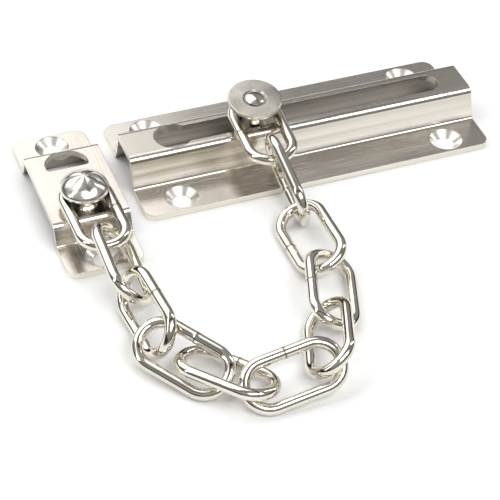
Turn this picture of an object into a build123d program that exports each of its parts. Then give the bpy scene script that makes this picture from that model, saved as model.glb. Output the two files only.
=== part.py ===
from build123d import *
from math import cos, radians, sin, tan
import os

# A door chain guard: a slotted track screwed to the door, a bracket screwed to the frame,
# and a welded chain from the knob that slides in the track to the stud on the bracket.
# Both plates lie on Z = 0.  X runs along the track and Y across it, with the origin
# at the middle of the track's screw holes.  Sizes are in millimetres.

# ---------------------------------------------------------------- driving dimensions
sheet = 1.8                 # thickness of the pressed plates
inner_bend = 0.3            # inside radius where a riser meets a top
outer_bend = sheet + inner_bend
foot_bend = 1.0             # inside radius where a riser meets a flange
plate_corner = 3.0          # rounded corners of the flanges
screw_hole = 5.0            # through diameter for a flat head screw
countersink = 9.2           # diameter of the countersink at the face
countersink_angle = 105.0

track_length = 100.0
track_width = 41.0
track_height = 10.4
track_top_width = 12.2      # across the top, corner to corner
track_foot_width = 17.8     # across the ridge where it leaves the flanges
track_hole_inset = 11.2     # screw hole centre to the track's end
track_hole_edge = 5.3       # screw hole centre to the track's long edge

slot_clearance = 0.5        # slot to the knob's neck, on each side
slot_end_margin = 7.6       # solid strip left past the slot's closed end
entry_margin = 8.7          # solid strip left before the round entry
entry_clearance = 0.9       # entry hole to the knob's base, on the radius
entry_blend = 2.0           # small radius where the entry runs into the slot

knob_rest_from_entry = 22.9  # where the knob is parked along the slot
knob_lean = 8.0             # the parked knob leans over, in degrees
knob_head_diameter = 14.8
knob_head_thickness = 1.2
knob_head_height = 18.5     # face of the head above the plates, at its middle
knob_neck_diameter = 6.0
knob_base_diameter = 8.6
knob_base_thickness = 0.9
knob_base_gap = 1.0         # base below the track's top sheet, so that the knob can lean
rivet_tenon_diameter = 3.4
rivet_button_diameter = 5.0
rivet_button_height = 0.9
rivet_tail_height = 0.5
knob_dish_diameter = 6.6
knob_dish_depth = 0.4
fit_clearance = 0.02        # riveted pieces sit this close on the radius

link_wire = 3.0
link_length_wires = 8.17    # welded chain keeps its proportions to the wire: a link's length
link_width_wires = 3.93     # and width, along the middle of the wire, in wire diameters
weld_width = 1.0
weld_rise = 0.12

bracket_length = 57.0
bracket_width = 20.6
bracket_height = 7.4
bracket_top_length = 29.2   # along the top, corner to corner
bracket_foot_length = 34.4  # between the flanges
bracket_hole_inset = 5.0    # screw hole centre to the bracket's end
window_width = 11.6
window_length = 7.4
window_side = 3.0           # straight sides of the window, before its arch
window_setback = 0.6        # window to the corner of the top behind it
window_corner = 1.0

stud_inset = 6.2            # stud axis to the corner of the top in front of it
stud_head_diameter = 12.8
stud_rim_height = 0.9
stud_dome_height = 3.6
stud_head_gap = 0.3         # the chain's last link to the underside of the head
stud_neck_diameter = 5.4
stud_foot_diameter = 7.2    # the neck spreads to this on the plate
stud_foot_height = 0.9
stud_shank_diameter = 4.4
stud_tail_diameter = 7.0
stud_tail_height = 0.8
link_slack = 0.3            # a link's inside to the neck it hangs on

# How the chain lies.  The first link hangs on the knob's neck at this height, and each
# later link starts a step away from the end of the one before it, counted in wire
# diameters.  The three angles are the link's heading, its dip and its roll, in degrees.
first_link_height = 13.5
chain_rest = [
    ((0, 0, 0), (-92, 4, 2)),
    ((0.0, 1.77, 0.67), (-87, 20, 102)),
    ((-0.4, 1.87, -0.4), (-90, -2, 26)),
    ((0.6, 1.4, -0.2), (-108, 1, -26)),
    ((-0.13, 1.93, 0.23), (-110, -7, 41)),
    ((1.27, 1.1, -0.2), (-178, 8, -29)),
    ((1.97, -0.63, 0.33), (130, 2, 17)),
    ((2.2, -4.03, 0.0), (127, -7, -27)),
    ((1.43, -1.97, 0.0), (95, -2, -63)),
    ((0.33, -1.93, -0.6), (90, -7, 43)),
    ((-0.43, -2.1, 0.0), (92, -3, -1)),
]

# ---------------------------------------------------------------- sizes that follow
slot_width = knob_neck_diameter + 2 * slot_clearance
entry_diameter = knob_base_diameter + 2 * entry_clearance
entry_x = -track_length / 2 + entry_margin + entry_diameter / 2
slot_end_x = track_length / 2 - slot_end_margin - slot_width / 2
knob_x = entry_x + knob_rest_from_entry
link_length = link_length_wires * link_wire
link_width = link_width_wires * link_wire
track_hole_x = track_length / 2 - track_hole_inset
track_hole_y = track_width / 2 - track_hole_edge
lean_height = track_height - sheet / 2

parts_folder = "parts"
os.makedirs(parts_folder, exist_ok=True)


def save(part, label):
    """Name a finished piece and write it as its own STEP file."""
    part.label = label
    export_step(part, os.path.join(parts_folder, label + ".step"))


def link_plane(start, heading, dip, roll):
    """The plane a link lies in: origin at its middle, X from its start to its end."""
    h, d, r = radians(heading), radians(dip), radians(roll)
    along = Vector(cos(h) * cos(d), sin(h) * cos(d), -sin(d))
    level = Vector(-sin(h), cos(h), 0)
    across = level * cos(r) + along.cross(level) * sin(r)
    return Plane(origin=start + along * (link_length / 2), x_dir=along, z_dir=along.cross(across))


def hang_radius(neck_diameter):
    """From a neck's axis to the middle of the wire that hangs on it."""
    return (neck_diameter + link_wire) / 2 + link_slack


def chain_planes():
    """One plane for each link, from the knob to the stud."""
    planes = []
    neck_y = -(first_link_height - lean_height) * tan(radians(knob_lean))
    heading = radians(chain_rest[0][1][0])
    pull = Vector(cos(heading), sin(heading), 0)
    start = Vector(knob_x, neck_y, first_link_height) - pull * hang_radius(knob_neck_diameter)
    for step, (heading, dip, roll) in chain_rest:
        plane = link_plane(start + Vector(*step) * link_wire, heading, dip, roll)
        start = plane.origin + plane.x_dir * (link_length / 2)
        planes.append(plane)
    return planes


def turned_plane(axis_plane):
    """The plane to draw a turned piece's outline on: radius along X, height along Y."""
    return Plane(origin=axis_plane.origin, x_dir=axis_plane.x_dir, z_dir=-axis_plane.y_dir)


def folded_strip(half_top, half_foot, half_end, height):
    """Half the outline of a raised plate's upper face, from one end to the other."""
    return FilletPolyline(
        (-half_end, sheet), (-half_foot, sheet), (-half_top, height),
        (half_top, height), (half_foot, sheet), (half_end, sheet),
        radius=(foot_bend, outer_bend, outer_bend, foot_bend),
    )


# ---------------------------------------------------------------- track plate
with BuildPart() as track_plate:
    with BuildSketch(Plane.YZ):
        with BuildLine():
            folded_strip(track_top_width / 2, track_foot_width / 2, track_width / 2, track_height)
            offset(amount=sheet, side=Side.RIGHT)
        make_face()
    extrude(amount=track_length / 2, both=True)
    fillet(track_plate.edges().filter_by(Axis.Z), plate_corner)
    with Locations((0, 0, sheet)):
        with GridLocations(2 * track_hole_x, 2 * track_hole_y, 2, 2):
            CounterSinkHole(screw_hole / 2, countersink / 2, counter_sink_angle=countersink_angle)
    with BuildSketch(Plane.XY.offset(track_height)) as keyhole:
        with Locations(((entry_x + slot_end_x) / 2, 0)):
            SlotCenterToCenter(slot_end_x - entry_x, slot_width)
        with Locations((entry_x, 0)):
            Circle(entry_diameter / 2)
        fillet(keyhole.vertices().group_by(Axis.X)[1], entry_blend)
    extrude(amount=-2 * sheet, mode=Mode.SUBTRACT)
save(track_plate.part, "track_plate")

# ---------------------------------------------------------------- knob
# The parked knob leans about the middle of the slot, where the chain's pull tips it.
knob_plane = Plane(origin=(knob_x, 0, lean_height)).rotated((knob_lean, 0, 0))
knob_axis = Axis(knob_plane.origin, knob_plane.z_dir)
head_top = knob_head_height - lean_height
head_bottom = head_top - knob_head_thickness
dish_floor = head_top - knob_dish_depth
base_top = -sheet / 2 - knob_base_gap
base_bottom = base_top - knob_base_thickness
tenon_radius = rivet_tenon_diameter / 2
bore_radius = tenon_radius + fit_clearance

with BuildPart() as knob_disc:
    with BuildSketch(turned_plane(knob_plane)) as disc_outline:
        with BuildLine():
            Polyline(
                (bore_radius, head_bottom),
                (knob_head_diameter / 2, head_bottom),
                (knob_head_diameter / 2, head_top),
                (knob_dish_diameter / 2, head_top),
                (knob_dish_diameter / 2 - knob_dish_depth, dish_floor),
                (bore_radius, dish_floor),
                close=True,
            )
        make_face()
        rim_corners = disc_outline.vertices().sort_by(Axis.X)[-2:]
        fillet(rim_corners, knob_head_thickness / 3)
    revolve(axis=knob_axis)
save(knob_disc.part, "knob_disc")

with BuildPart() as knob_rivet:
    with BuildSketch(turned_plane(knob_plane)):
        with BuildLine():
            button_edge = dish_floor + rivet_button_height / 3
            outline = Polyline(
                (0, base_bottom - rivet_tail_height),
                (tenon_radius, base_bottom - rivet_tail_height),
                (tenon_radius + rivet_tail_height, base_bottom),
                (tenon_radius, base_bottom),
                (tenon_radius, base_top),
                (knob_neck_diameter / 2, base_top),
                (knob_neck_diameter / 2, head_bottom),
                (tenon_radius, head_bottom),
                (tenon_radius, dish_floor),
                (rivet_button_diameter / 2, dish_floor),
                (rivet_button_diameter / 2, button_edge),
            )
            crown = TangentArc((0, dish_floor + rivet_button_height), outline @ 1, tangent=(1, 0))
            Line(crown @ 0, outline @ 0)
        make_face()
    revolve(axis=knob_axis)
save(knob_rivet.part, "knob_rivet")

with BuildPart() as knob_base:
    with BuildSketch(knob_plane.offset(base_bottom)):
        Circle(knob_base_diameter / 2)
        Circle(bore_radius, mode=Mode.SUBTRACT)
    extrude(amount=knob_base_thickness)
save(knob_base.part, "knob_base")

# ---------------------------------------------------------------- chain
# Each link is bent from one piece of wire and butt welded in the middle of one side.
half_straight = (link_length - link_width) / 2
bend_radius = link_width / 2

for number, plane in enumerate(chain_planes(), start=1):
    with BuildPart() as chain_link:
        with BuildLine(plane) as wire_path:
            side = Line((-half_straight, -bend_radius), (half_straight, -bend_radius))
            end = TangentArc(side @ 1, (half_straight, bend_radius), tangent=side % 1)
            back = Line(end @ 1, (-half_straight, bend_radius))
            TangentArc(back @ 1, side @ 0, tangent=back % 1)
        with BuildSketch(Plane(origin=side @ 0, z_dir=plane.x_dir)):
            Circle(link_wire / 2)
        sweep()
        with BuildSketch(Plane(origin=side @ 0.5, z_dir=plane.x_dir).offset(-weld_width / 2)):
            Circle(link_wire / 2 + weld_rise)
        extrude(amount=weld_width)
    save(chain_link.part, f"link_{number:02d}")

# ---------------------------------------------------------------- stud
last_link = chain_planes()[-1]
chain_end = last_link.origin + last_link.x_dir * (link_length / 2)
last_pull = Vector(last_link.x_dir.X, last_link.x_dir.Y, 0).normalized()
stud_place = chain_end - last_pull * hang_radius(stud_neck_diameter)
stud_plane = Plane(origin=(stud_place.X, stud_place.Y, 0))
rim_bottom = chain_end.Z + link_wire / 2 + stud_head_gap
rim_top = rim_bottom + stud_rim_height
dome_top = rim_top + stud_dome_height
plate_underside = bracket_height - sheet
shank_radius = stud_shank_diameter / 2

with BuildPart() as dome_stud:
    with BuildSketch(turned_plane(stud_plane)):
        with BuildLine():
            outline = Polyline(
                (0, plate_underside - stud_tail_height),
                (stud_tail_diameter / 2 - stud_tail_height, plate_underside - stud_tail_height),
                (stud_tail_diameter / 2, plate_underside),
                (shank_radius, plate_underside),
                (shank_radius, bracket_height),
                (stud_foot_diameter / 2, bracket_height),
                (stud_neck_diameter / 2, bracket_height + stud_foot_height),
                (stud_neck_diameter / 2, rim_bottom),
                (stud_head_diameter / 2, rim_bottom),
                (stud_head_diameter / 2, rim_top),
            )
            dome = TangentArc((0, dome_top), outline @ 1, tangent=(1, 0))
            Line(dome @ 0, outline @ 0)
        make_face()
    revolve(axis=Axis(stud_plane.origin, stud_plane.z_dir))
save(dome_stud.part, "dome_stud")

# ---------------------------------------------------------------- bracket plate
# The bracket lies where the chain leaves the stud, with the stud near its front end.
bracket_x = stud_place.X
bracket_y = stud_place.Y - stud_inset + bracket_top_length / 2
window_back = bracket_top_length / 2 - window_setback
window_front = window_back - window_length
window_half = window_width / 2

with BuildPart() as bracket_plate:
    with BuildSketch(Plane(origin=(bracket_x, bracket_y, 0), x_dir=(0, 1, 0), z_dir=(1, 0, 0))):
        with BuildLine():
            folded_strip(
                bracket_top_length / 2, bracket_foot_length / 2, bracket_length / 2, bracket_height
            )
            offset(amount=sheet, side=Side.RIGHT)
        make_face()
    extrude(amount=bracket_width / 2, both=True)
    fillet(bracket_plate.edges().filter_by(Axis.Z), plate_corner)
    with Locations((bracket_x, bracket_y, sheet)):
        with GridLocations(1, bracket_length - 2 * bracket_hole_inset, 1, 2):
            CounterSinkHole(screw_hole / 2, countersink / 2, counter_sink_angle=countersink_angle)
    with BuildSketch(Plane(origin=(bracket_x, bracket_y, bracket_height))) as window:
        with BuildLine():
            Polyline(
                (-window_half, window_front + window_side),
                (-window_half, window_front),
                (window_half, window_front),
                (window_half, window_front + window_side),
            )
            ThreePointArc(
                (window_half, window_front + window_side),
                (0, window_back),
                (-window_half, window_front + window_side),
            )
        make_face()
        fillet(window.vertices().group_by(Axis.Y)[0], window_corner)
    extrude(amount=-2 * sheet, mode=Mode.SUBTRACT)
    with BuildSketch(stud_plane.offset(bracket_height)):
        Circle(shank_radius + fit_clearance)
    extrude(amount=-2 * sheet, mode=Mode.SUBTRACT)
save(bracket_plate.part, "bracket_plate")
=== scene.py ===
# %% [markdown]
# # A door chain guard in bright nickel
# The guard has three working groups: a folded track with a knob that slides in its slot, a chain
# of eleven welded links, and a small raised bracket with a dome-headed stud that holds the chain.
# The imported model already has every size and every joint, so this lesson only gives it its looks:
# finer meshes where the metal is round, a finish for each way the metal was worked, and a studio.

import math

import bmesh
import bpy
import numpy as np
from mathutils import Matrix, Vector


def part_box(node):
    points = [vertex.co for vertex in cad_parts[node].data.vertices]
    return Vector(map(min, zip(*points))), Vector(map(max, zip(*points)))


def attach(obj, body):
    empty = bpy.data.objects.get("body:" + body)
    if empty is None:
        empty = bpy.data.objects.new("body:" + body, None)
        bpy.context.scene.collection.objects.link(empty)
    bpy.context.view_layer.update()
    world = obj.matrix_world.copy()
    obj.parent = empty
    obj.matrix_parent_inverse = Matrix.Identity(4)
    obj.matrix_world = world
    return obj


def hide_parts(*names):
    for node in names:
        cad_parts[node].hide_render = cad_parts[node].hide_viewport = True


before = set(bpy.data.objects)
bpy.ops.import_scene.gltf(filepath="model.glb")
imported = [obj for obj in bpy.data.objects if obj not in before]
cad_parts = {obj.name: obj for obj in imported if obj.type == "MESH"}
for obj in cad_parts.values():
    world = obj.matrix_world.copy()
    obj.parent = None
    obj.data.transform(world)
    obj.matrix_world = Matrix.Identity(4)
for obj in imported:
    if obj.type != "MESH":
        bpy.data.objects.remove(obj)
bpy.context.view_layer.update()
mm = 0.001

# %% [markdown]
# ## The table top
# Small hardware is shown on a matt white surface that runs far past the edges of the view. One
# wide sheet is enough. A little grain in its bump keeps the soft shadows from looking computed.


# %% Helpers for shader nodes
def put(tree, kind, inputs=None, output=0, **settings):
    """Adds a node, sets or links its inputs, and returns one of its outputs."""
    made = tree.nodes.new(kind)
    for name, value in settings.items():
        setattr(made, name, value)
    for key, value in (inputs or {}).items():
        if isinstance(value, bpy.types.NodeSocket):
            tree.links.new(value, made.inputs[key])
        else:
            made.inputs[key].default_value = value
    return made.outputs[output]


def start_finish(name, metallic, colour, roughness):
    """A material with only its shader, and the plain values that are the same all over."""
    finish = bpy.data.materials.new(name)
    finish.use_nodes = True
    shader = finish.node_tree.nodes["Principled BSDF"]
    shader.inputs["Metallic"].default_value = metallic
    shader.inputs["Base Color"].default_value = (*colour, 1)
    shader.inputs["Roughness"].default_value = roughness
    return finish, finish.node_tree, shader


def bumped(tree, height, strength, distance, under=None):
    """Relief from a height, laid over the relief under it if there is one."""
    inputs = {"Height": height, "Strength": strength, "Distance": distance}
    if under is not None:
        inputs["Normal"] = under
    return put(tree, "ShaderNodeBump", inputs)


# %% The floor
floor_reach = 4.0
floor_mesh = bpy.data.meshes.new("floor")
shape = bmesh.new()
bmesh.ops.create_grid(shape, x_segments=8, y_segments=8, size=floor_reach)
shape.to_mesh(floor_mesh)
shape.free()
floor = bpy.data.objects.new("floor", floor_mesh)
bpy.context.scene.collection.objects.link(floor)

matt_white, tree, shader = start_finish("matt_white_board", 0.0, (0.93, 0.93, 0.925), 0.75)
spot = put(tree, "ShaderNodeTexCoord", output=3)
tooth = put(tree, "ShaderNodeTexNoise", {"Vector": spot, "Scale": 900.0, "Detail": 3.0})
relief = bumped(tree, tooth, 0.15, 0.0002)
tree.links.new(relief, shader.inputs["Normal"])
floor.data.materials.append(matt_white)
print("floor reaches", floor_reach, "m each way")

# %% [markdown]
# ## The light
# Polished metal has no look of its own: it shows what stands around it. A pale sky gives the even
# light, large softboxes give the bright patches, and black cards round the table, with two bars
# over it, give the dark lines that make a plated edge read. Cards and bars are hidden from the
# camera and throw no shadow, so they work only through reflections, as a studio's flags do.

# %% A pale sky
world = bpy.data.worlds.new("pale_sky")
world.use_nodes = True
bpy.context.scene.world = world
sky = world.node_tree
direction = put(sky, "ShaderNodeTexCoord", output=0)
height = put(sky, "ShaderNodeSeparateXYZ", {0: direction}, output=2)
ramp = sky.nodes.new("ShaderNodeValToRGB")
ramp.color_ramp.elements[0].position = 0.0
ramp.color_ramp.elements[0].color = (0.45, 0.44, 0.42, 1)
ramp.color_ramp.elements[1].position = 0.75
ramp.color_ramp.elements[1].color = (1.0, 1.0, 1.0, 1)
sky.links.new(height, ramp.inputs[0])
background = sky.nodes["Background"]
sky.links.new(ramp.outputs[0], background.inputs["Color"])
background.inputs["Strength"].default_value = 0.36


# %% Softboxes
table_middle = Vector((-0.02, -0.035, 0.0))


def softbox(name, place, size, power):
    """A rectangular area light that looks at the middle of the table."""
    lamp = bpy.data.lights.new(name, "AREA")
    lamp.shape = "RECTANGLE"
    lamp.size, lamp.size_y = size
    lamp.energy = power
    stand = bpy.data.objects.new(name, lamp)
    stand.location = place
    stand.rotation_euler = (table_middle - Vector(place)).to_track_quat("-Z", "Y").to_euler()
    bpy.context.scene.collection.objects.link(stand)


softbox("overhead", (-0.24, 0.46, 0.64), (1.0, 1.0), 4.6)
softbox("front_fill", (0.15, -0.65, 0.85), (0.9, 0.4), 6.5)
softbox("left_strip", (-0.85, -0.05, 0.55), (0.12, 0.7), 1.6)
softbox("right_strip", (0.80, 0.10, 0.50), (0.10, 0.7), 1.2)


# %% Black cards
black_card, tree, shader = start_finish("black_card", 0.0, (0.02, 0.019, 0.017), 0.9)
shader.inputs["Specular IOR Level"].default_value = 0.0
spot = put(tree, "ShaderNodeTexCoord", output=3)
felt = put(tree, "ShaderNodeTexNoise", {"Vector": spot, "Scale": 60.0, "Detail": 2.0})
relief = bumped(tree, felt, 0.2, 0.001)
tree.links.new(relief, shader.inputs["Normal"])


def card(name, middle, width, height, tilt, turn):
    """A black card that only reflections can see."""
    mesh = bpy.data.meshes.new(name)
    corners = [(-width / 2, -height / 2, 0), (width / 2, -height / 2, 0)]
    corners += [(width / 2, height / 2, 0), (-width / 2, height / 2, 0)]
    mesh.from_pydata(corners, [], [(0, 1, 2, 3)])
    mesh.materials.append(black_card)
    flag = bpy.data.objects.new(name, mesh)
    flag.location = middle
    flag.rotation_euler = (tilt, 0, turn)
    flag.visible_camera = False
    flag.visible_shadow = False
    flag.visible_diffuse = False
    bpy.context.scene.collection.objects.link(flag)


card_distance = 0.6
card_middle = 0.12
card_count = 7
first_card = 62
card_sweep = 236
for number in range(card_count):
    turn = math.radians(first_card + card_sweep * number / (card_count - 1))
    middle = (card_distance * math.sin(turn), -card_distance * math.cos(turn), card_middle)
    card(f"low_card_{number}", middle, 0.44, 0.14, math.pi / 2, turn)
card("bar_over_the_front", (0.0, -0.16, 0.50), 1.3, 0.06, 0.0, 0.0)
card("bar_over_the_side", (0.20, 0.0, 0.52), 1.3, 0.06, 0.0, math.pi / 2)
print(card_count + 2, "black cards stand round and over the table")

# %% [markdown]
# ## The camera
# The guard is seen from above the near corner of the bracket, through a long lens that keeps the
# track's edges almost parallel. The camera is placed by two angles and a distance from the point
# it looks at, which is easier to reason about than a position and three rotations.

# %% Place the camera
look_at = Vector((-0.0286, -0.0398, 0.0005))
camera_turn = math.radians(-22.07)
camera_height = math.radians(41.57)
camera_roll = math.radians(2.14)
camera_distance = 0.4658
lens_length = 129.6

back = Vector(
    (
        math.sin(camera_turn) * math.cos(camera_height),
        -math.cos(camera_turn) * math.cos(camera_height),
        math.sin(camera_height),
    )
)
level = (-back).cross(Vector((0, 0, 1))).normalized()
upright = level.cross(-back)
right = level * math.cos(camera_roll) + upright * math.sin(camera_roll)
up = upright * math.cos(camera_roll) - level * math.sin(camera_roll)
camera = bpy.data.objects.new("camera", bpy.data.cameras.new("camera"))
camera.data.lens = lens_length
camera.data.sensor_width = 36.0
camera.data.clip_start = 0.01
camera.matrix_world = Matrix.Translation(look_at + back * camera_distance) @ (
    Matrix((right, up, back)).transposed().to_4x4()
)
bpy.context.scene.collection.objects.link(camera)
bpy.context.scene.camera = camera
bpy.context.scene.view_settings.view_transform = "Standard"
print("camera stands", round(camera.location.z / mm), "mm above the table")

# %% [markdown]
# ## Measuring the links
# Each link hangs at its own angle. Its vertices spread most along its length, less across it and
# least through the wire, so the directions of greatest spread are exactly the link's own axes.
# The weld collar stands out a little on one long side, and that tells which side was welded.

# %% Find every link's own axes
link_names = sorted(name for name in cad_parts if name.startswith("link_"))
weld_rise = 0.12 * mm
weld_reach = 0.6 * mm


def measure_link(name):
    """Middle, axes and sizes of a link, with the welded side towards minus across."""
    points = np.array([v.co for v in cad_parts[name].data.vertices], float)
    middle = points.mean(0)
    spread, axes = np.linalg.eigh(np.cov((points - middle).T))
    through, across, along = axes.T
    local = (points - middle) @ np.array([along, across, through]).T
    low, high = local.min(0), local.max(0)
    near_weld = local[np.abs(local[:, 0] - (low[0] + high[0]) / 2) < weld_reach]
    if near_weld[:, 1].max() >= high[1] - weld_rise / 2:
        across, through = -across, -through
        local[:, 1:] *= -1
        low, high = local.min(0), local.max(0)
    if np.dot(np.cross(along, across), through) < 0:
        through = -through
        low[2], high[2] = -high[2], -low[2]
    low[1] += weld_rise
    centre = middle + np.array([along, across, through]).T @ ((low + high) / 2)
    wire = high[2] - low[2] - 2 * weld_rise
    return {
        "centre": Vector(centre),
        "axes": [Vector(along), Vector(across), Vector(through)],
        "half_length": (high[0] - low[0] - wire) / 2,
        "half_width": (high[1] - low[1] - wire) / 2,
        "wire": wire,
    }


links = {name: measure_link(name) for name in link_names}
for name, link in links.items():
    wire = link["wire"]
    sizes = [link["half_length"] * 2 + wire, link["half_width"] * 2 + wire, wire]
    print(name, "outside length, width, wire in mm:", [round(size / mm, 2) for size in sizes])

# %% [markdown]
# ## The shape of a link
# A chain machine cuts a length of drawn wire, bends it into a ring with straight sides, and butt
# welds the ends. A curve with a round bevel would give the ring, but not the weld. So the wire is
# swept in code: rings of points along the centre line, closer together at the weld, where the
# radius grows into a collar of squeezed metal with a fine seam in the middle of it.

# %% Points along a link's centre line
section_points = 24
end_steps = 30
weld_steps = [0.0, 0.03, 0.07, 0.12, 0.18, 0.26, 0.36, 0.5, 0.7, 0.95, 1.3]


def walk_stations(half_straight, bend):
    """Distances along the closed centre line, from the weld all the way round."""
    around = math.pi * bend
    total = 4 * half_straight + 2 * around
    out = [step * mm for step in weld_steps]
    out += [half_straight * part for part in (0.4, 0.6, 0.8)]
    out += [half_straight + around * step / end_steps for step in range(end_steps + 1)]
    out += [half_straight + around + half_straight * part for part in (0.25, 0.5, 0.75)]
    back = [total - step for step in reversed(out[1:])]
    return out + [total / 2] + back, total


def centre_line(distance, half_straight, bend):
    """Place and heading on the centre line, in the link's own plane."""
    around = math.pi * bend
    first_end = half_straight + around
    second_side = first_end + 2 * half_straight
    if distance <= half_straight:
        return (distance, -bend), (1.0, 0.0)
    if distance <= first_end:
        turn = (distance - half_straight) / bend - math.pi / 2
        return (
            (half_straight + bend * math.cos(turn), bend * math.sin(turn)),
            (-math.sin(turn), math.cos(turn)),
        )
    if distance <= second_side:
        return (half_straight - (distance - first_end), bend), (-1.0, 0.0)
    if distance <= second_side + around:
        turn = (distance - second_side) / bend + math.pi / 2
        return (
            (-half_straight + bend * math.cos(turn), bend * math.sin(turn)),
            (-math.sin(turn), math.cos(turn)),
        )
    return (distance - (2 * around + 4 * half_straight), -bend), (1.0, 0.0)


# %% Sweep the wire, with its weld
# Heights and spreads of the weld's marks are in millimetres. The burr is a small lump to one side
# of the collar, and burr_turn is its place round the wire.
collar_rise = 0.045
collar_spread = 0.42
seam_depth = 0.11
seam_spread = 0.055
burr_spread = 0.3
burr_turn = 2.0


def hump(from_weld, spread):
    """A soft rise that is one at the weld and dies away over its spread."""
    return math.exp(-((from_weld / spread) ** 2))


def swept_link(name, link, burr):
    """A link's mesh: a round wire swept round the centre line, with a collar and a seam."""
    bend = link["half_width"]
    half_straight = link["half_length"] - bend
    stations, total = walk_stations(half_straight, bend)
    along, across, through = link["axes"]
    shape = bmesh.new()
    unwrap = shape.loops.layers.uv.new("along_and_round")
    rings = []
    for distance in stations:
        (x, y), (hx, hy) = centre_line(distance, half_straight, bend)
        from_weld = min(distance, total - distance) / mm
        collar = collar_rise * hump(from_weld, collar_spread)
        seam = seam_depth * hump(from_weld, seam_spread)
        ring = []
        for step in range(section_points):
            turn = math.tau * step / section_points
            lump = burr * max(0.0, math.cos(turn - burr_turn)) ** 3 * hump(from_weld, burr_spread)
            radius = link["wire"] / 2 + (collar - seam + lump) * mm
            side = math.cos(turn) * radius
            rise = math.sin(turn) * radius
            level = link["centre"] + along * (x + hy * side) + across * (y - hx * side)
            ring.append(shape.verts.new(level + through * rise))
        rings.append(ring)
    marks = stations + [total]
    for row in range(len(rings)):
        ahead = rings[(row + 1) % len(rings)]
        for step in range(section_points):
            beside = (step + 1) % section_points
            face = shape.faces.new(
                (rings[row][step], ahead[step], ahead[beside], rings[row][beside])
            )
            face.smooth = True
            corners = ((row, step), (row + 1, step), (row + 1, step + 1), (row, step + 1))
            for loop, (r, s) in zip(face.loops, corners):
                loop[unwrap].uv = (marks[r] / total, s / section_points)
    bmesh.ops.recalc_face_normals(shape, faces=shape.faces)
    mesh = bpy.data.meshes.new(name)
    shape.to_mesh(mesh)
    shape.free()
    return mesh


# %% [markdown]
# ## The chain's finish
# The chain is barrel polished and then plated, so it is the brightest metal here: almost a
# mirror, with hair-fine drawing lines along the wire and a faint straw tint left by the weld. The
# lines come from noise that is stretched along the wire, which is why the sweep also laid down
# coordinates along and round it.


# %% Small tools for finishes
def mixed_colour(tree, share, first, second):
    """Blends two colours, either of which may be a plain one."""
    inputs = {0: share, 6: first, 7: second}
    inputs = {k: (*v, 1) if isinstance(v, tuple) and len(v) == 3 else v for k, v in inputs.items()}
    return put(tree, "ShaderNodeMix", inputs, output=2, data_type="RGBA")


def rescaled(tree, value, start, end, low=0.0, high=1.0):
    """Takes values from start to end over to low to high, and holds them there outside."""
    return put(tree, "ShaderNodeMapRange", {0: value, 1: start, 2: end, 3: low, 4: high})


def arithmetic(tree, operation, first, second=0.0):
    """One sum on numbers."""
    return put(tree, "ShaderNodeMath", {0: first, 1: second}, operation=operation)


def on_vectors(tree, operation, first, second=(0, 0, 0), output=0):
    """One sum on vectors."""
    inputs = {0: first, 1: second}
    return put(tree, "ShaderNodeVectorMath", inputs, output=output, operation=operation)


def stretched_noise(tree, spot, stretch, detail=2.0):
    """Noise drawn out along some directions, for grain and bands."""
    pulled = on_vectors(tree, "MULTIPLY", spot, stretch)
    return put(tree, "ShaderNodeTexNoise", {"Vector": pulled, "Scale": 1.0, "Detail": detail})


# %% Polished and plated wire
first_link = links[link_names[0]]
wire_total = 2 * math.pi * first_link["half_width"] + 4 * (
    first_link["half_length"] - first_link["half_width"]
)


def short_of_weld(distance):
    """A distance from the weld in millimetres, as a share of the way round the link."""
    return 0.5 - distance * mm / wire_total


bright_wire, tree, shader = start_finish("bright_plated_wire", 1.0, (0.78, 0.76, 0.72), 0.08)
coordinates = tree.nodes.new("ShaderNodeTexCoord")
unwrapped, spot = coordinates.outputs["UV"], coordinates.outputs["Object"]
clouds = put(tree, "ShaderNodeTexNoise", {"Vector": spot, "Scale": 140.0, "Detail": 3.0})
drawn = stretched_noise(tree, unwrapped, (14.0, 60.0, 1.0))
patches = rescaled(tree, clouds, 0.35, 0.7)
base = mixed_colour(tree, patches, (0.83, 0.795, 0.72), (0.70, 0.66, 0.57))
along_wire = put(tree, "ShaderNodeSeparateXYZ", {0: unwrapped})
from_weld = arithmetic(tree, "ABSOLUTE", arithmetic(tree, "SUBTRACT", along_wire, 0.5))
straw = rescaled(tree, from_weld, short_of_weld(2.2), short_of_weld(0.3), 0.0, 0.45)
base = mixed_colour(tree, straw, base, (0.66, 0.60, 0.50))
seam = rescaled(tree, from_weld, short_of_weld(0.24), short_of_weld(0.07))
base = mixed_colour(tree, seam, base, (0.16, 0.14, 0.12))
tree.links.new(base, shader.inputs["Base Color"])
cloud_dullness = rescaled(tree, clouds, 0.3, 0.75, 0.05, 0.13)
straw_dullness = rescaled(tree, straw, 0.0, 0.45, 0.0, 0.10)
dull = arithmetic(tree, "ADD", cloud_dullness, straw_dullness)
tree.links.new(dull, shader.inputs["Roughness"])
pits = put(tree, "ShaderNodeTexNoise", {"Vector": spot, "Scale": 1500.0, "Detail": 2.0})
relief = bumped(tree, drawn, 0.10, 0.00003)
relief = bumped(tree, pits, 0.06, 0.00002, relief)
waves = put(tree, "ShaderNodeTexNoise", {"Vector": spot, "Scale": 260.0, "Detail": 1.0})
relief = bumped(tree, waves, 0.12, 0.0001, relief)
tree.links.new(relief, shader.inputs["Normal"])

# %% Make the eleven links
burrs = {"link_06": 0.05, "link_03": 0.03}
usual_burr = 0.015
for name in link_names:
    mesh = swept_link(name + "_wire", links[name], burrs.get(name, usual_burr))
    mesh.materials.append(bright_wire)
    piece = bpy.data.objects.new(name + "_wire", mesh)
    bpy.context.scene.collection.objects.link(piece)
    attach(piece, name)
    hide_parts(name)
print(len(link_names), "links, each bent from", round(wire_total / mm, 1), "mm of wire")

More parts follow.
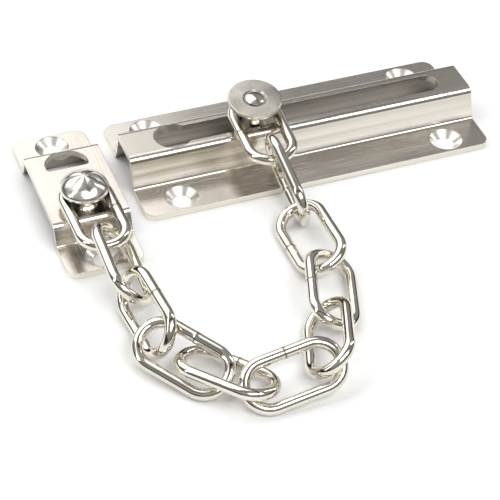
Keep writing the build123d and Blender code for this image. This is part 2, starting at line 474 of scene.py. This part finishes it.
# %% [markdown]
# ## The two folded plates
# The track and the bracket are pressed from cold-rolled strip and plated without polishing, so
# they are satin: fine grain along the strip, soft clouds in the plating, and brightest in the
# countersinks, which a cutter turned after pressing. Light and shade are painted into their colour
# as well: a painted highlight and bands of painted reflection on the steep faces, a painted dark
# ring round each countersink, and painted shade on the undersides. The plates' shapes are already
# right, so they keep their CAD meshes and only get this finish. The places of the screw holes come
# from the plates' own boxes.


# %% Satin plating on rolled strip
cone_outside = 4.70 * mm
cone_inside = 4.55 * mm
lip_inside = 4.25 * mm


def satin_plate(name, node, hole_inset, hole_edge, grain):
    """Satin nickel with grain, clouds and bright countersinks, a painted highlight and painted
    reflections on steep faces, a painted dark ring round each countersink, and painted shade on a
    duller underside.
    """
    finish, tree, shader = start_finish(name, 1.0, (0.76, 0.73, 0.69), 0.3)
    coordinates = tree.nodes.new("ShaderNodeTexCoord")
    spot, facing = coordinates.outputs["Object"], coordinates.outputs["Normal"]
    low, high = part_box(node)
    middle = (low + high) / 2
    centred = on_vectors(tree, "SUBTRACT", spot, (middle.x, middle.y, 0))
    folded = on_vectors(tree, "ABSOLUTE", centred)
    flat = on_vectors(tree, "MULTIPLY", folded, (1, 1, 0))
    hole = (high.x - middle.x - hole_inset, high.y - middle.y - hole_edge, 0)
    from_hole = on_vectors(tree, "DISTANCE", flat, hole, output=1)
    cone = rescaled(tree, from_hole, cone_outside, cone_inside)

    upward = put(tree, "ShaderNodeSeparateXYZ", {0: facing}, output=2)
    slope = rescaled(tree, arithmetic(tree, "ABSOLUTE", upward), 0.93, 0.72)
    # Faces that look down: their colour gets painted shade, and their roughness gets a real duller
    # finish.
    underside_shade_and_dullness = rescaled(tree, upward, -0.15, -0.5)

    clouds = put(tree, "ShaderNodeTexNoise", {"Vector": spot, "Scale": 55.0, "Detail": 4.0})
    lines = stretched_noise(tree, spot, grain, detail=3.0)
    bands = stretched_noise(tree, spot, (6.0, 6.0, 420.0), detail=1.5)
    patches = rescaled(tree, clouds, 0.3, 0.7)
    base = mixed_colour(tree, patches, (0.76, 0.71, 0.655), (0.62, 0.575, 0.51))
    scored = rescaled(tree, lines, 0.35, 0.75, 0.0, 0.35)
    base = mixed_colour(tree, scored, base, (0.60, 0.57, 0.52))
    # Stripes of light and dark colour across the steep faces, fading along the track: painted
    # reflections.
    stripes = rescaled(tree, bands, 0.42, 0.58)
    painted_reflection_bands = mixed_colour(tree, stripes, (0.93, 0.87, 0.79), (0.50, 0.45, 0.35))
    far_end = put(tree, "ShaderNodeSeparateXYZ", {0: centred})
    fading = rescaled(tree, far_end, -40 * mm, 20 * mm, 0.75, 0.35)
    painted_reflection_share = arithmetic(tree, "MULTIPLY", slope, fading)
    # A lighter colour on the steep faces: a painted highlight. Their lower roughness above is real.
    base = mixed_colour(tree, slope, base, (0.84, 0.80, 0.74))
    base = mixed_colour(tree, painted_reflection_share, base, painted_reflection_bands)
    base = mixed_colour(tree, cone, base, (0.80, 0.78, 0.74))
    # A thin dark ring at the outer edge of each countersink: painted shade.
    near_lip = rescaled(tree, from_hole, lip_inside, cone_inside, 0.0, 0.6)
    painted_rim_shade = arithmetic(tree, "MULTIPLY", cone, near_lip)
    base = mixed_colour(tree, painted_rim_shade, base, (0.25, 0.23, 0.20))
    # Dark colour on the faces that look down: painted shade.
    base = mixed_colour(tree, underside_shade_and_dullness, base, (0.26, 0.225, 0.19))
    tree.links.new(base, shader.inputs["Base Color"])

    dull = rescaled(tree, lines, 0.3, 0.8, 0.20, 0.30)
    dull = put(tree, "ShaderNodeMix", {0: slope, 2: dull, 3: 0.17}, data_type="FLOAT")
    dull = put(tree, "ShaderNodeMix", {0: cone, 2: dull, 3: 0.30}, data_type="FLOAT")
    dull = put(tree, "ShaderNodeMix", {0: underside_shade_and_dullness, 2: dull, 3: 0.42}, data_type="FLOAT")
    tree.links.new(dull, shader.inputs["Roughness"])

    rounded = put(tree, "ShaderNodeBevel", {"Radius": 0.18 * mm}, samples=6)
    relief = bumped(tree, lines, 0.16, 0.00003, rounded)
    tree.links.new(relief, shader.inputs["Normal"])
    return finish


# %% Put it on the plates
def refinish(node, finish):
    """Gives a CAD node another material, and leaves its shape alone."""
    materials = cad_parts[node].data.materials
    if materials:
        materials[0] = finish
    else:
        materials.append(finish)


refinish(
    "track_plate",
    satin_plate("satin_track", "track_plate", 11.2 * mm, 5.3 * mm, (60.0, 5200.0, 5200.0)),
)
refinish(
    "bracket_plate",
    satin_plate("satin_bracket", "bracket_plate", 10.3 * mm, 5.0 * mm, (5200.0, 60.0, 5200.0)),
)

# %% [markdown]
# ## The turned pieces
# The knob's head, its rivet and the stud are turned on a lathe. A cutting tool leaves rings, and
# rings stretch every highlight into wedges that meet at the middle. That is anisotropy, with its
# tangent running round the axis. The noise that gives the rings is read from the distance to the
# axis, so a mapping first brings each piece's axis upright and to the origin.


# %% A turned finish
rings_per_metre = 3800.0


def turned_metal(name, middle, lean, colour, shade, roughness, streak):
    """Nickel with lathe rings round an axis that passes through middle and leans about X, and
    painted shade where ambient occlusion finds a crevice.
    """
    finish, tree, shader = start_finish(name, 1.0, colour, roughness)
    shader.inputs["Anisotropic"].default_value = streak
    spot = put(tree, "ShaderNodeTexCoord", output=3)
    local = put(
        tree,
        "ShaderNodeMapping",
        {"Vector": spot, "Location": middle, "Rotation": (lean, 0, 0)},
        vector_type="TEXTURE",
    )
    flat = on_vectors(tree, "MULTIPLY", local, (1, 1, 0))
    reach = on_vectors(tree, "LENGTH", flat, output=1)
    ring_number = arithmetic(tree, "MULTIPLY", reach, rings_per_metre)
    ring_place = put(tree, "ShaderNodeCombineXYZ", {0: ring_number})
    rings = put(tree, "ShaderNodeTexNoise", {"Vector": ring_place, "Scale": 1.0, "Detail": 2.0})
    clouds = put(tree, "ShaderNodeTexNoise", {"Vector": spot, "Scale": 220.0, "Detail": 3.0})
    base = mixed_colour(tree, rescaled(tree, clouds, 0.35, 0.7), colour, shade)
    base = mixed_colour(tree, rescaled(tree, rings, 0.5, 0.75, 0.0, 0.3), base, shade)
    # Ambient occlusion darkens the colour in crevices and under the knob's disc: painted shade.
    open_air = put(tree, "ShaderNodeAmbientOcclusion", {"Distance": 4 * mm}, output=1, samples=8)
    crevice_painted_shade = rescaled(tree, open_air, 0.75, 0.35, 0.0, 0.95)
    base = mixed_colour(tree, crevice_painted_shade, base, (0.07, 0.06, 0.045))
    tree.links.new(base, shader.inputs["Base Color"])
    dull = rescaled(tree, rings, 0.3, 0.7, roughness * 0.75, roughness * 1.3)
    tree.links.new(dull, shader.inputs["Roughness"])
    rounded = put(tree, "ShaderNodeBevel", {"Radius": 0.12 * mm}, samples=6)
    relief = bumped(tree, rings, 0.12, 0.00003, rounded)
    tree.links.new(relief, shader.inputs["Normal"])
    around = put(tree, "ShaderNodeTangent", direction_type="RADIAL", axis="Z")
    tree.links.new(around, shader.inputs["Tangent"])
    return finish


knob_lean = math.radians(8)
disc_low, disc_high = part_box("knob_disc")
knob_middle = (disc_low + disc_high) / 2
knob_finishes = {
    "disc": ((0.66, 0.62, 0.56), (0.48, 0.45, 0.39), 0.26, 0.6),
    "rivet": ((0.78, 0.74, 0.68), (0.50, 0.46, 0.38), 0.14, 0.3),
    "base": ((0.70, 0.66, 0.60), (0.40, 0.36, 0.30), 0.30, 0.0),
}
for part, looks in knob_finishes.items():
    refinish("knob_" + part, turned_metal("turned_" + part, knob_middle, knob_lean, *looks))
print("knob's middle in mm:", [round(value / mm, 2) for value in knob_middle])


# %% [markdown]
# ## The stud
# The stud's head is a low dome that catches the light as a star of six faint lobes. Real ones may
# be cut or only reflected, and here they are a shallow wave in the metal, with the valleys between
# them also darkened in the dome's colour: painted dark wedges of reflection. A lathe profile is
# spun in code, because a wave can then be added row by row. The wave depends only on the distance
# from the axis, so it reaches the neck, the foot and the tail as well as the dome, up to its full
# depth.


# %% Spin a profile
stud_lobes = 6
lobe_phase = math.pi / 2 * (1 + stud_lobes / 2)


def spun(name, outline, middle, around, lobes, lobe_depth, lobe_band):
    """A closed turned mesh from (radius, height) pairs, with its origin on its own axis."""
    shape = bmesh.new()
    rows = []
    for reach, height in outline:
        if reach == 0:
            rows.append([shape.verts.new((0, 0, height))])
            continue
        row = []
        for step in range(around):
            turn = math.tau * step / around
            share = min(max((reach - lobe_band[0]) / (lobe_band[1] - lobe_band[0]), 0.0), 1.0)
            swell = math.sin(math.pi * share) if height > 0 else 0.0
            lift = lobe_depth * swell * (abs(math.cos(lobes * turn / 2 + lobe_phase)) - 1)
            place = (reach * math.cos(turn), reach * math.sin(turn), height + lift)
            row.append(shape.verts.new(place))
        rows.append(row)
    for first, second in zip(rows, rows[1:]):
        for step in range(around):
            beside = (step + 1) % around
            corners = [first[step % len(first)], first[beside % len(first)]]
            corners += [second[beside % len(second)], second[step % len(second)]]
            corners = list(dict.fromkeys(corners))
            shape.faces.new(corners).smooth = True
    bmesh.ops.recalc_face_normals(shape, faces=shape.faces)
    mesh = bpy.data.meshes.new(name)
    shape.to_mesh(mesh)
    shape.free()
    mesh.set_sharp_from_angle(angle=math.radians(38))
    piece = bpy.data.objects.new(name, mesh)
    piece.location = middle
    bpy.context.scene.collection.objects.link(piece)
    return piece


# %% The stud's profile
stud_low, stud_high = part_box("dome_stud")
plate_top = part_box("bracket_plate")[1].z
sheet = 1.8 * mm
stud_axis = Vector(((stud_low.x + stud_high.x) / 2, (stud_low.y + stud_high.y) / 2, 0))
head_radius = (stud_high.x - stud_low.x) / 2
dome_height = 3.6 * mm
rim_height = 0.9 * mm
rim_top = stud_high.z - dome_height
rim_bottom = rim_top - rim_height
soft = 0.15 * mm
dome_radius = (head_radius**2 + dome_height**2) / (2 * dome_height)
dome_span = math.asin((head_radius - soft) / dome_radius)
dome_steps = 22
dome = []
for step in range(dome_steps + 1):
    lean = dome_span * step / dome_steps
    drop = dome_radius * (1 - math.cos(lean))
    dome.append((dome_radius * math.sin(lean), stud_high.z - drop))
neck = 2.7 * mm
foot = 3.6 * mm
shank = 2.2 * mm
outline = dome + [
    (head_radius - soft * 0.3, rim_top - soft * 0.2),
    (head_radius, rim_top - soft),
    (head_radius, rim_bottom + soft),
    (head_radius - soft * 0.3, rim_bottom + soft * 0.3),
    (head_radius - soft, rim_bottom),
    (neck + 0.3 * mm, rim_bottom),
    (neck, rim_bottom - 0.25 * mm),
    (neck, plate_top + 1.0 * mm),
    (neck + 0.2 * mm, plate_top + 0.9 * mm),
    (foot - soft, plate_top + 0.2 * mm),
    (foot, plate_top + 0.02 * mm),
    (shank, plate_top + 0.01 * mm),
    (shank, plate_top - sheet),
    (3.5 * mm, plate_top - sheet - 0.01 * mm),
    (3.4 * mm, plate_top - sheet - 0.3 * mm),
    (2.8 * mm, stud_low.z),
    (0, stud_low.z),
]
lobe_depth = 0.30 * mm
lobe_band = (0.2 * mm, 6.2 * mm)
stud = spun("stud", outline, stud_axis, 144, stud_lobes, lobe_depth, lobe_band)
dome_looks = ((0.90, 0.88, 0.83), (0.76, 0.73, 0.66), 0.22, 0.35)
wedge_painted_dome = turned_metal("dome_with_painted_wedges", (0, 0, 0), 0.0, *dome_looks)
tree = wedge_painted_dome.node_tree
shader = tree.nodes["Principled BSDF"]
spot = put(tree, "ShaderNodeTexCoord", output=3)
sides = tree.nodes.new("ShaderNodeSeparateXYZ")
tree.links.new(spot, sides.inputs[0])
turn = arithmetic(tree, "ARCTAN2", sides.outputs[1], sides.outputs[0])
petal = arithmetic(tree, "ADD", arithmetic(tree, "MULTIPLY", turn, stud_lobes / 2), lobe_phase)
petal = arithmetic(tree, "ABSOLUTE", arithmetic(tree, "COSINE", petal))
above_rim = rescaled(tree, sides.outputs[2], rim_top - 0.1 * mm, rim_top + 0.4 * mm)
# Darker colour in the valleys between the lobes, above the rim: painted dark wedges of reflection.
painted_wedge_shade = arithmetic(tree, "MULTIPLY", rescaled(tree, petal, 0.65, 0.05, 0.0, 0.6), above_rim)
plain = shader.inputs["Base Color"].links[0].from_socket
tree.links.new(mixed_colour(tree, painted_wedge_shade, plain, (0.30, 0.285, 0.22)), shader.inputs["Base Color"])
stud.data.materials.append(wedge_painted_dome)
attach(stud, "bracket")
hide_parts("dome_stud")
print("stud head is", round(2 * head_radius / mm, 1), "mm across")
